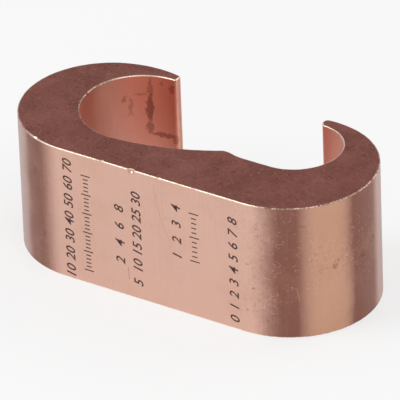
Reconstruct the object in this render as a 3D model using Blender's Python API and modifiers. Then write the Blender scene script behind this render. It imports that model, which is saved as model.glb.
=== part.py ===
"""Compression ground connector: one extruded copper bar with two hooks.

The section is a C. A large groove takes the ground rod, a smaller one takes the tap
conductor, and a low ridge parts them. The mouth between the hook tips lets both in,
and a die then closes the hooks. The bar is cut to width, which leaves two flat faces.

Frame: X along the section's length, Y from the web to the mouth, Z along the extrusion.
The origin is in the middle of the lower cut face's bounding box.
"""

import math

import bmesh
import bpy
from mathutils import Vector

NAME = "compression_ground_connector"

# Bar, metres
CUT_WIDTH = 0.0190
WEB_FLAT_LENGTH = 0.02742
WEB_THICKNESS = 0.00577
EDGE_BREAK = 0.00015
TIP_CORNER_ROUND = 0.00024

# Outside of the rod end
ROD_SHOULDER_RADIUS = 0.0122
ROD_HOOK_RADIUS = 0.0114
ROD_TIP_RADIUS = 0.0140
ROD_HOOK_REACH = 0.01553

# Outside of the tap end
TAP_SHOULDER_RADIUS = 0.0115
TAP_HOOK_RADIUS = 0.01185
TAP_HOOK_REACH = 0.01334
TAP_TIP_ROUND = 0.00065
TAP_TIP_EASE = 0.00050
TAP_TIP_EASE_HEIGHT = 0.00066

# Rod groove
ROD_WALL = 0.00738
ROD_CROWN_WALL = 0.00165
ROD_FLOOR_RADIUS = 0.0088

# Ridge between the grooves
RIDGE_RISE = 0.00431
RIDGE_LAND = 0.00072
RIDGE_TO_TAP = 0.00712
RIDGE_EDGE_ROUND = 0.00030
RIDGE_BLEND_RADIUS = 0.0060

# Tap groove
TAP_FLOOR_DROP = 0.00046
TAP_WALL = 0.0071
TAP_CROWN_WALL = 0.00168
TAP_FLOOR_RADIUS = 0.0062

# Handling marks on the upper front edge: places along the web, from the rod end
DENT_RADIUS = 0.00050
NICK_RADIUS = 0.00016
MARK_DEPTH = 0.00034
DENT_PLACE_SHARE = 0.398
NICK_PLACE_SHARES = (0.238, 0.553)

# Angles, degrees
ROD_TIP_ARC_START = 160.0
RAMP_START = 4.0
RIDGE_FLANK = 15.0
WEB_FACING = 270.0
SHOULDER_NICK_FACING = 250.0
ARC_STEP = 2.0
SMOOTH_LIMIT = 20.0

RAMP_MIN_STEPS = 16
ROUND_STEPS = 4
MARK_SIDES = 24
WELD_DISTANCE = 0.000001

COPPER_COLOUR = (0.60, 0.33, 0.25, 1.0)
COPPER_ROUGHNESS = 0.38
COPPER_METALLIC = 1.0


def clear_scene():
    for obj in list(bpy.data.objects):
        bpy.data.objects.remove(obj, do_unlink=True)


def make_collection(name):
    collection = bpy.data.collections.new(name)
    bpy.context.scene.collection.children.link(collection)
    return collection


def copper_material():
    material = bpy.data.materials.new("extruded_copper")
    material.use_nodes = True
    shader = material.node_tree.nodes["Principled BSDF"]
    shader.inputs["Base Color"].default_value = COPPER_COLOUR
    shader.inputs["Roughness"].default_value = COPPER_ROUGHNESS
    shader.inputs["Metallic"].default_value = COPPER_METALLIC
    material.diffuse_color = COPPER_COLOUR
    return material


def on_circle(centre, radius, degrees):
    angle = math.radians(degrees)
    return centre + radius * Vector((math.cos(angle), math.sin(angle)))


def arc(centre, radius, start, end, min_steps=1):
    """Points of an arc from start to end degrees, both ends included."""
    steps = max(min_steps, math.ceil(abs(end - start) / ARC_STEP))
    return [on_circle(centre, radius, start + (end - start) * step / steps) for step in range(steps + 1)]


def bearing(centre, point):
    """Direction from centre to point, degrees from 0 up to 360."""
    offset = point - centre
    return math.degrees(math.atan2(offset.y, offset.x)) % 360.0


def height_on_circle(centre, radius, x):
    """Point on the upper half of a circle at x."""
    return Vector((x, centre.y + math.sqrt(radius ** 2 - (x - centre.x) ** 2)))


def round_corner(before, corner, after, radius):
    """Arc of the given radius that rounds off a corner between two straight edges."""
    back = (before - corner).normalized()
    ahead = (after - corner).normalized()
    half_opening = back.angle(ahead) / 2
    reach = radius / math.tan(half_opening)
    centre = corner + (back + ahead).normalized() * (radius / math.sin(half_opening))
    start = corner + back * reach
    end = corner + ahead * reach
    points = []
    for step in range(ROUND_STEPS + 1):
        share = step / ROUND_STEPS
        direction = ((start - centre) * (1 - share) + (end - centre) * share).normalized()
        points.append(centre + direction * radius)
    return points


class RodEnd:
    """Centres of the arcs round the rod groove, outside and inside."""

    def __init__(self):
        self.shoulder = Vector((0, ROD_SHOULDER_RADIUS))
        self.outer_x = -ROD_SHOULDER_RADIUS
        self.hook = Vector((self.outer_x + ROD_HOOK_RADIUS, ROD_SHOULDER_RADIUS))
        self.tip_arc_start = 270.0 - ROD_TIP_ARC_START
        toward_tip = on_circle(Vector((0, 0)), ROD_HOOK_RADIUS - ROD_TIP_RADIUS, self.tip_arc_start)
        self.tip = self.hook + toward_tip
        self.top = self.tip.y + ROD_TIP_RADIUS
        self.tip_x = self.outer_x + ROD_HOOK_REACH
        self.tip_outer = height_on_circle(self.tip, ROD_TIP_RADIUS, self.tip_x)

        groove_x = self.outer_x + ROD_WALL
        self.floor = Vector((groove_x + ROD_FLOOR_RADIUS, WEB_THICKNESS + ROD_FLOOR_RADIUS))
        self.crown_radius = self.top - ROD_CROWN_WALL - self.floor.y
        self.crown = Vector((groove_x + self.crown_radius, self.floor.y))
        self.tip_inner = height_on_circle(self.crown, self.crown_radius, self.tip_x)

        past_round = self.tip_x - 2 * TIP_CORNER_ROUND
        self.hook_end = height_on_circle(self.tip, ROD_TIP_RADIUS, past_round)
        self.crown_end = height_on_circle(self.crown, self.crown_radius, past_round)


class TapEnd:
    """Centres of the arcs round the tap groove, outside and inside."""

    def __init__(self):
        self.shoulder = Vector((WEB_FLAT_LENGTH, TAP_SHOULDER_RADIUS))
        self.outer_x = WEB_FLAT_LENGTH + TAP_SHOULDER_RADIUS
        self.hook = Vector((self.outer_x - TAP_HOOK_RADIUS, TAP_SHOULDER_RADIUS))
        self.top = self.hook.y + TAP_HOOK_RADIUS
        self.tip_x = self.outer_x - TAP_HOOK_REACH
        self.tip_outer = height_on_circle(self.hook, TAP_HOOK_RADIUS, self.tip_x + TAP_TIP_ROUND)
        self.tip_corner = Vector((self.tip_x, self.tip_outer.y))

        groove_x = self.outer_x - TAP_WALL
        floor_y = WEB_THICKNESS + RIDGE_RISE - TAP_FLOOR_DROP
        self.floor = Vector((groove_x - TAP_FLOOR_RADIUS, floor_y + TAP_FLOOR_RADIUS))
        self.floor_y = floor_y
        self.crown_radius = self.top - TAP_CROWN_WALL - self.floor.y
        self.crown = Vector((groove_x - self.crown_radius, self.floor.y))
        self.tip_inner = height_on_circle(self.crown, self.crown_radius, self.tip_x + TAP_TIP_EASE)
        self.tip_low = Vector((self.tip_x, self.tip_inner.y + TAP_TIP_EASE_HEIGHT))
        self.crown_end = height_on_circle(self.crown, self.crown_radius, self.tip_inner.x + TIP_CORNER_ROUND)


def ramp_to_ridge(rod, ridge_start):
    """Arc that leaves the rod groove's floor and rises to the ridge."""
    start = on_circle(rod.floor, ROD_FLOOR_RADIUS, 270.0 + RAMP_START)
    toward_centre = (rod.floor - start).normalized()
    chord = ridge_start - start
    radius = chord.length_squared / (2 * chord.dot(toward_centre))
    centre = start + toward_centre * radius
    return arc(centre, radius, bearing(centre, start), bearing(centre, ridge_start), RAMP_MIN_STEPS)


def ridge_and_floors(rod, tap):
    """Line from the tap groove's floor over the ridge and down to the rod groove."""
    ridge_y = WEB_THICKNESS + RIDGE_RISE
    land_start = Vector((tap.floor.x - RIDGE_TO_TAP, ridge_y))
    land_end = land_start + Vector((RIDGE_LAND, 0))
    flank_run = TAP_FLOOR_DROP / math.tan(math.radians(RIDGE_FLANK))
    flank_foot = Vector((land_end.x + flank_run, tap.floor_y))
    floor_end = Vector((tap.floor.x, tap.floor_y))
    ramp = ramp_to_ridge(rod, land_start)

    points = round_corner(floor_end, flank_foot, land_end, RIDGE_BLEND_RADIUS)
    points += round_corner(flank_foot, land_end, land_start, RIDGE_EDGE_ROUND)
    points += round_corner(land_end, land_start, ramp[-2], RIDGE_EDGE_ROUND)
    points += reversed(ramp[:-1])
    return points


def section_outline(rod, tap):
    """The closed outline of the section, counter-clockwise, web along y = 0."""
    points = arc(tap.shoulder, TAP_SHOULDER_RADIUS, 270, 360)
    points += arc(tap.hook, TAP_HOOK_RADIUS, 0, bearing(tap.hook, tap.tip_outer))
    points += round_corner(tap.tip_outer, tap.tip_corner, tap.tip_low, TAP_TIP_ROUND)
    points += round_corner(tap.tip_corner, tap.tip_low, tap.tip_inner, TIP_CORNER_ROUND)
    points += round_corner(tap.tip_low, tap.tip_inner, tap.crown_end, TIP_CORNER_ROUND)
    points += arc(tap.crown, tap.crown_radius, bearing(tap.crown, tap.crown_end), 0)
    points += arc(tap.floor, TAP_FLOOR_RADIUS, 360, 270)
    points += ridge_and_floors(rod, tap)
    points += arc(rod.floor, ROD_FLOOR_RADIUS, 270 + RAMP_START, 180)
    points += arc(rod.crown, rod.crown_radius, 180, bearing(rod.crown, rod.crown_end))
    points += round_corner(rod.crown_end, rod.tip_inner, rod.tip_outer, TIP_CORNER_ROUND)
    points += round_corner(rod.tip_inner, rod.tip_outer, rod.hook_end, TIP_CORNER_ROUND)
    points += arc(rod.tip, ROD_TIP_RADIUS, bearing(rod.tip, rod.hook_end), rod.tip_arc_start)
    points += arc(rod.hook, ROD_HOOK_RADIUS, rod.tip_arc_start, 180)
    points += arc(rod.shoulder, ROD_SHOULDER_RADIUS, 180, 270)

    outline = []
    for point in points:
        if not outline or (point - outline[-1]).length > WELD_DISTANCE:
            outline.append(point)
    return outline


def extrude_section(outline, collection):
    """Bar from the outline: a filled 2D curve, made a mesh with one face at each cut end."""
    curve = bpy.data.curves.new("section", "CURVE")
    curve.dimensions = "2D"
    curve.fill_mode = "BOTH"
    curve.extrude = CUT_WIDTH / 2
    spline = curve.splines.new("POLY")
    spline.points.add(len(outline) - 1)
    for spline_point, point in zip(spline.points, outline):
        spline_point.co = (point.x, point.y, 0, 1)
    spline.use_cyclic_u = True
    guide = bpy.data.objects.new("section_guide", curve)
    guide.location.z = CUT_WIDTH / 2
    collection.objects.link(guide)

    bpy.context.view_layer.update()
    evaluated = guide.evaluated_get(bpy.context.evaluated_depsgraph_get())
    mesh = bpy.data.meshes.new_from_object(evaluated)
    body = bpy.data.objects.new(NAME, mesh)
    body.matrix_world = guide.matrix_world
    collection.objects.link(body)
    bpy.data.objects.remove(guide, do_unlink=True)

    bars = bmesh.new()
    bars.from_mesh(mesh)
    bmesh.ops.remove_doubles(bars, verts=bars.verts, dist=WELD_DISTANCE)
    for side in (-1, 1):
        cap = [face for face in bars.faces if face.normal.z * side > math.cos(math.radians(ARC_STEP))]
        bmesh.ops.dissolve_faces(bars, faces=cap, use_verts=False)
    bmesh.ops.recalc_face_normals(bars, faces=bars.faces)
    bars.to_mesh(mesh)
    bars.free()
    return body


def break_cut_edges(body):
    """Small chamfer round both cut faces, as the saw and the tumbling leave it."""
    mesh = body.data
    edges = bmesh.new()
    edges.from_mesh(mesh)
    weight = edges.edges.layers.float.new("bevel_weight_edge")
    for edge in edges.edges:
        level = abs(edge.verts[0].co.z - edge.verts[1].co.z) < WELD_DISTANCE
        if level:
            edge[weight] = 1.0
    edges.to_mesh(mesh)
    edges.free()
    chamfer = body.modifiers.new("edge_break", "BEVEL")
    chamfer.limit_method = "WEIGHT"
    chamfer.offset_type = "OFFSET"
    chamfer.width = EDGE_BREAK
    chamfer.segments = 1
    chamfer.use_clamp_overlap = False


def cut_mark(body, name, place, facing, radius, collection):
    """Half-round handling mark in the upper edge, at a place whose wall faces the given bearing."""
    bpy.ops.mesh.primitive_cylinder_add(
        vertices=MARK_SIDES,
        radius=radius,
        depth=2 * MARK_DEPTH,
        location=(place.x, place.y, CUT_WIDTH),
        rotation=(math.radians(90), 0, math.radians(facing - WEB_FACING)),
    )
    cutter = bpy.context.object
    cutter.name = name
    cutter.display_type = "WIRE"
    cutter.hide_render = True
    for owner in list(cutter.users_collection):
        owner.objects.unlink(cutter)
    collection.objects.link(cutter)
    cut = body.modifiers.new(name, "BOOLEAN")
    cut.operation = "DIFFERENCE"
    cut.solver = "EXACT"
    cut.object = cutter
    return cutter


def centre_on_origin(objects, rod, tap):
    """Move the web line's frame to the middle of the section's box."""
    middle = Vector(((rod.outer_x + tap.outer_x) / 2, max(rod.top, tap.top) / 2, 0))
    for obj in objects:
        obj.location -= middle


def main():
    clear_scene()
    parts = make_collection(NAME)
    cutters = make_collection("cutters")
    rod = RodEnd()
    tap = TapEnd()

    body = extrude_section(section_outline(rod, tap), parts)
    body.data.materials.clear()
    body.data.materials.append(copper_material())
    body.data.shade_smooth()
    body.data.set_sharp_from_angle(angle=math.radians(SMOOTH_LIMIT))
    break_cut_edges(body)

    on_shoulder = on_circle(rod.shoulder, ROD_SHOULDER_RADIUS, SHOULDER_NICK_FACING)
    marks = [(on_shoulder, SHOULDER_NICK_FACING, NICK_RADIUS)]
    for share in NICK_PLACE_SHARES:
        marks.append((Vector((WEB_FLAT_LENGTH * share, 0)), WEB_FACING, NICK_RADIUS))
    marks.append((Vector((WEB_FLAT_LENGTH * DENT_PLACE_SHARE, 0)), WEB_FACING, DENT_RADIUS))
    tools = []
    for number, (place, facing, radius) in enumerate(marks, start=1):
        tools.append(cut_mark(body, f"mark_cutter_{number}", place, facing, radius, cutters))
    centre_on_origin([body, *tools], rod, tap)


main()
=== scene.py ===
"""Looks of a copper compression ground connector: the bar, its finishes and a plain studio."""

import logging
import math
from dataclasses import dataclass, field
from enum import Enum
from typing import Any, Callable, Iterable, Mapping, Sequence

import bmesh
import bpy
from bpy.types import ID, Material, Mesh, Node, NodeSocket, NodeTree, Object
from mathutils import Matrix, Vector


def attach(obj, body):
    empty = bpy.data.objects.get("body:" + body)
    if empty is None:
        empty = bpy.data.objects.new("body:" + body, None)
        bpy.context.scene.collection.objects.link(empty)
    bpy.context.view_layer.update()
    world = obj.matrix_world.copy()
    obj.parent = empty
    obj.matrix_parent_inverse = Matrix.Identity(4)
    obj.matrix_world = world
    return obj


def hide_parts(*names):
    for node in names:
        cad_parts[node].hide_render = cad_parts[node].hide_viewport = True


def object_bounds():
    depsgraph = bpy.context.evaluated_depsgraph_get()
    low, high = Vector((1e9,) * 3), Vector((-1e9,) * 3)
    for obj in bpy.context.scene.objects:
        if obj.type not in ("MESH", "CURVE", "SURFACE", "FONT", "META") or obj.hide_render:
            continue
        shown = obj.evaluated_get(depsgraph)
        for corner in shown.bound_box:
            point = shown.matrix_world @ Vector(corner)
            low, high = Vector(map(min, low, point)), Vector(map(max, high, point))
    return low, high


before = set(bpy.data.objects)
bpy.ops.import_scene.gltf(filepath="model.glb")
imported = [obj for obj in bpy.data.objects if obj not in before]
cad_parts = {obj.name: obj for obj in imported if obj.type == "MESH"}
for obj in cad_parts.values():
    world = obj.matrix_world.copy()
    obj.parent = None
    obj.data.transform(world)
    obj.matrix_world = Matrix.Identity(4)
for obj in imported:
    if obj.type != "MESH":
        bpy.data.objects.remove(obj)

CAD_BOX = [list(map(float, corner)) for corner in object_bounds()]

MM = 0.001
NODE = "compression_ground_connector"
BODY = "root"

WELD_DISTANCE = 0.0005 * MM
SHORTEST_STEP = 0.02
CORNER_STEP = 15
RIM_INSET = -0.02
MARK_WALL_SHARE = 0.40
SENSOR_WIDTH = 36.0
CLIP_RANGE = (0.01, 20.0)
LAMP_TARGET = Vector((0.0, 0.0, 9.5 * MM))
WHITE = (1.0, 1.0, 1.0, 1.0)

Colour = tuple[float, float, float, float]

logging.basicConfig(level=logging.INFO, format="%(message)s")
log = logging.getLogger("connector")


class Zone(Enum):
    """Parts of the section's outline that wear a finish of their own."""

    SKIN = 0
    GROOVE = 1
    TIP = 2


class Finish(Enum):
    """Material slots of the bar, in order."""

    SKIN = 0
    GROOVE = 1
    CUT = 2
    RIM = 3


def srgb(red: int, green: int, blue: int) -> Colour:
    """Linear colour of an sRGB triple from 0 to 255."""
    linear = [((v / 255 + 0.055) / 1.055) ** 2.4 if v > 10 else v / 255 / 12.92 for v in (red, green, blue)]
    return (linear[0], linear[1], linear[2], 1.0)


def _operator(operation: str, reflected: bool = False) -> Callable[["Signal", "Value"], "Signal"]:
    """An operator of Signal that adds a Math node; reflected puts the other term first."""

    def apply(self: "Signal", other: "Value") -> "Signal":
        """Adds the node."""
        return self._math(operation, other, self) if reflected else self._math(operation, self, other)

    return apply


class Signal:
    """A number, vector or colour that flows through a node tree."""

    def __init__(self, graph: "Graph", socket: NodeSocket) -> None:
        """Wraps an output socket of graph's tree."""
        self.graph = graph
        self.socket = socket

    def _math(self, operation: str, *terms: "Value") -> "Signal":
        """Adds a Math node over terms."""
        node = self.graph.node("ShaderNodeMath", {"operation": operation}, dict(enumerate(terms)))
        return self.graph.out(node)

    __add__ = _operator("ADD")
    __radd__ = _operator("ADD", reflected=True)
    __sub__ = _operator("SUBTRACT")
    __rsub__ = _operator("SUBTRACT", reflected=True)
    __mul__ = _operator("MULTIPLY")
    __rmul__ = _operator("MULTIPLY", reflected=True)
    __truediv__ = _operator("DIVIDE")
    __rtruediv__ = _operator("DIVIDE", reflected=True)

    def __neg__(self) -> "Signal":
        """-self"""
        return self._math("MULTIPLY", self, -1.0)

    def __abs__(self) -> "Signal":
        """Size without its sign."""
        return self._math("ABSOLUTE", self)

    def sine(self) -> "Signal":
        """Sine, radians."""
        return self._math("SINE", self)

    def cosine(self) -> "Signal":
        """Cosine, radians."""
        return self._math("COSINE", self)

    def least(self, other: "Value") -> "Signal":
        """The smaller of the two."""
        return self._math("MINIMUM", self, other)

    def most(self, other: "Value") -> "Signal":
        """The larger of the two."""
        return self._math("MAXIMUM", self, other)

    def modulo(self, other: "Value") -> "Signal":
        """What is left after division."""
        return self._math("MODULO", self, other)

    def below(self, other: "Value") -> "Signal":
        """1 where this is less than the other, or else 0."""
        return self._math("LESS_THAN", self, other)

    def ramp(self, start: float, end: float) -> "Signal":
        """Smooth step from 0 at start to 1 at end; start may be the larger."""
        low, high, first, last = (start, end, 0.0, 1.0) if start < end else (end, start, 1.0, 0.0)
        settings = {"interpolation_type": "SMOOTHSTEP"}
        values = {0: self, 1: low, 2: high, 3: first, 4: last}
        return self.graph.made("ShaderNodeMapRange", settings, values)


Value = Signal | float | int | Sequence[float]
Settings = Mapping[str, Any]
Values = Mapping[int | str, Value]


class Graph:
    """A node tree and the one way in which nodes are added to it."""

    def __init__(self, tree: NodeTree) -> None:
        """Starts on tree, which is emptied."""
        self.tree = tree
        tree.nodes.clear()

    def node(
        self, kind: str, settings: Settings | None = None, values: Values | None = None
    ) -> Node:
        """Adds a node.

        Args:
            kind: the node's type.
            settings: its properties, set first; stops gives a colour ramp's (place, colour) pairs.
            values: numbers or signals for its input sockets, by index or name.

        Returns:
            The node.
        """
        made = self.tree.nodes.new(kind)
        for name, setting in (settings or {}).items():
            if name == "stops":
                self._set_stops(made, setting)
            else:
                setattr(made, name, setting)
        self.feed(made, values or {})
        return made

    def feed(self, node: Node, values: Values) -> None:
        """Sets a node's inputs, by index or name, to numbers or links signals to them."""
        for key, value in values.items():
            if isinstance(value, Signal):
                self.tree.links.new(value.socket, node.inputs[key])
            else:
                node.inputs[key].default_value = value

    @staticmethod
    def _set_stops(ramp: Node, stops: Sequence[tuple[float, Colour]]) -> None:
        """Sets a colour ramp's stops from (place, colour) pairs."""
        elements = ramp.color_ramp.elements
        while len(elements) < len(stops):
            elements.new(1.0)
        for element, (place, colour) in zip(elements, stops):
            element.position = place
            element.color = colour

    def out(self, node: Node, key: int | str = 0) -> Signal:
        """The signal at one of node's outputs."""
        return Signal(self, node.outputs[key])

    def made(
        self, kind: str, settings: Settings | None = None, values: Values | None = None, key: int | str = 0
    ) -> Signal:
        """Adds a node, as node does, and returns the signal at the output that key names."""
        return self.out(self.node(kind, settings, values), key)

    def vector_math(self, operation: str, first: Value, second: Value) -> Signal:
        """Adds a Vector Math node over two vectors."""
        return self.made("ShaderNodeVectorMath", {"operation": operation}, {0: first, 1: second})

    def object_place(self) -> Signal:
        """Object coordinates, metres."""
        return self.made("ShaderNodeTexCoord", key="Object")

    def layered(self, colour: Value, layers: Iterable[tuple[Value, Value]]) -> Value:
        """A colour under layers, each a share and a colour, in order."""
        for share, tint in layers:
            colour = self.mix(share, colour, tint)
        return colour

    def attribute(self, name: str) -> Signal:
        """A stored number of the mesh, in a material."""
        settings = {"attribute_type": "GEOMETRY", "attribute_name": name}
        return self.made("ShaderNodeAttribute", settings, key="Fac")

    def vector(self, x: Value = 0.0, y: Value = 0.0, z: Value = 0.0) -> Signal:
        """A vector from three numbers."""
        return self.made("ShaderNodeCombineXYZ", None, {0: x, 1: y, 2: z})

    def parts(self, vector: Signal) -> tuple[Signal, Signal, Signal]:
        """The three numbers of a vector."""
        split = self.node("ShaderNodeSeparateXYZ", None, {0: vector})
        return self.out(split, 0), self.out(split, 1), self.out(split, 2)

    def scaled(self, vector: Signal, factor: Value) -> Signal:
        """A vector times a number."""
        return self.made("ShaderNodeVectorMath", {"operation": "SCALE"}, {0: vector, "Scale": factor})

    def mix(self, share: Value, first: Value, second: Value) -> Signal:
        """Colour that goes from first to second as share goes from 0 to 1."""
        settings = {"data_type": "RGBA", "clamp_factor": True}
        return self.made("ShaderNodeMix", settings, {0: share, 6: first, 7: second}, key=2)

    def noise(self, place: Signal, scale: float, detail: float, rough: float, seed: float) -> Signal:
        """Fractal noise from 0 to 1.

        Args:
            place: the point, in millimetres.
            scale: features per millimetre.
            detail: octaves.
            rough: share that each octave keeps of the one before.
            seed: a different pattern for each value.

        Returns:
            The noise.
        """
        values = {"Vector": place, "W": seed, "Scale": scale, "Detail": detail, "Roughness": rough}
        return self.made("ShaderNodeTexNoise", {"noise_dimensions": "4D"}, values)

    def pits(self, place: Signal, scale: float, size: float, seed: float) -> Signal:
        """Small round marks: 1 inside, 0 outside.

        Args:
            place: the point, in millimetres.
            scale: marks per millimetre, at most.
            size: radius of the largest, as a share of the spacing.
            seed: a different pattern for each value.

        Returns:
            The mask.
        """
        moved = self.vector_math("ADD", place, (seed, -seed, seed))
        cells = self.node("ShaderNodeTexVoronoi", {"feature": "F1"}, {"Vector": moved, "Scale": scale})
        chance, _, spread = self.parts(self.out(cells, "Color"))
        reach = size * spread
        return (reach - self.out(cells, "Distance")).ramp(0.0, 0.05) * chance.ramp(0.60, 0.66)

    def scratches(
        self, place: Signal, spacing: float, length: float, width: float, share: float, seed: float
    ) -> Signal:
        """Short straight scratches, each at its own angle.

        Args:
            place: the point on the surface, in millimetres, with z zero.
            spacing: size of the cell that holds one scratch, millimetres.
            length: half the longest scratch, millimetres.
            width: half the widest scratch, millimetres.
            share: share of the cells that hold one.
            seed: a different pattern for each value.

        Returns:
            A mask, 1 on the scratches.
        """
        moved = self.vector_math("ADD", place, (seed, seed * 0.7, 0.0))
        settings = {"feature": "F1", "voronoi_dimensions": "2D"}
        cells = self.node("ShaderNodeTexVoronoi", settings, {"Vector": moved, "Scale": 1.0 / spacing})
        across_x, across_y, _ = self.parts(self.vector_math("SUBTRACT", moved, self.out(cells, "Position")))
        turn, chance, strength = self.parts(self.out(cells, "Color"))
        angle = turn * (2 * math.pi)
        along = abs(across_x * angle.cosine() + across_y * angle.sine())
        across = abs(across_y * angle.cosine() - across_x * angle.sine())
        reach = length * (0.35 + 0.65 * strength)
        thin = (across / width).ramp(1.0, 0.2)
        ends = (along / reach).ramp(1.0, 0.6)
        return thin * ends * chance.ramp(1.0 - share, 1.02 - share) * (0.4 + 0.6 * strength)


@dataclass(frozen=True)
class SectionSizes:
    """Sizes of the extruded section, millimetres and degrees."""

    cut_width: float = 19.0
    web_flat: float = 27.42
    web_thickness: float = 5.77
    rod_shoulder: float = 12.2
    rod_hook: float = 11.4
    rod_tip: float = 14.0
    rod_tip_from: float = 110.0
    rod_reach: float = 15.53
    rod_wall: float = 7.38
    rod_crown_wall: float = 1.65
    rod_floor: float = 8.8
    ramp_from: float = 274.0
    tap_shoulder: float = 11.5
    tap_hook: float = 11.85
    tap_reach: float = 13.34
    tap_tip_round: float = 0.65
    tap_tip_ease: float = 0.50
    tap_tip_ease_height: float = 0.66
    tap_wall: float = 7.1
    tap_crown_wall: float = 1.68
    tap_floor: float = 6.2
    ridge_rise: float = 4.31
    ridge_land: float = 0.72
    ridge_to_tap: float = 7.12
    ridge_blend: float = 6.0
    ridge_edge: float = 0.35
    ridge_flank: float = 15.0
    tap_floor_drop: float = 0.46
    tip_corner: float = 0.24
    arc_step: float = 1.2
    longest_step: float = 0.24
    fine_step: float = 0.05
    film_room: float = 0.012


@dataclass(frozen=True)
class EdgeMark:
    """A flat-bottomed mark struck into the upper edge of the skin, millimetres and degrees.

    facing is the way the wall faces there: 270 on the web, where along is the place from the rod
    end's tangent point, and less on the rod shoulder.
    """

    radius: float
    depth: float
    along: float = 0.0
    facing: float = 270.0


@dataclass(frozen=True)
class OutlinePoint:
    """A point of the outline with its distance along it, its zone and the way out of the metal."""

    place: Vector
    run: float
    zone: Zone
    outward: Vector


def on_circle(centre: Vector, radius: float, degrees: float) -> Vector:
    """Point of a circle at a bearing."""
    angle = math.radians(degrees)
    return centre + radius * Vector((math.cos(angle), math.sin(angle)))


def towards(heading: float, rise: float) -> Vector:
    """Direction at a bearing from the front and at an elevation, radians."""
    return Vector((math.sin(heading) * math.cos(rise), -math.cos(heading) * math.cos(rise), math.sin(rise)))


def arc_points(centre: Vector, radius: float, start: float, turn: float, steps: int) -> list[Vector]:
    """Points of an arc in equal steps, both ends included."""
    return [on_circle(centre, radius, start + turn * step / steps) for step in range(steps + 1)]


def bearing(centre: Vector, point: Vector) -> float:
    """Direction from centre to point, degrees from 0 up to 360."""
    return math.degrees(math.atan2(point.y - centre.y, point.x - centre.x)) % 360.0


def over_circle(centre: Vector, radius: float, x: float) -> Vector:
    """Point on the upper half of a circle at x."""
    return Vector((x, centre.y + math.sqrt(radius ** 2 - (x - centre.x) ** 2)))


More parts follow.
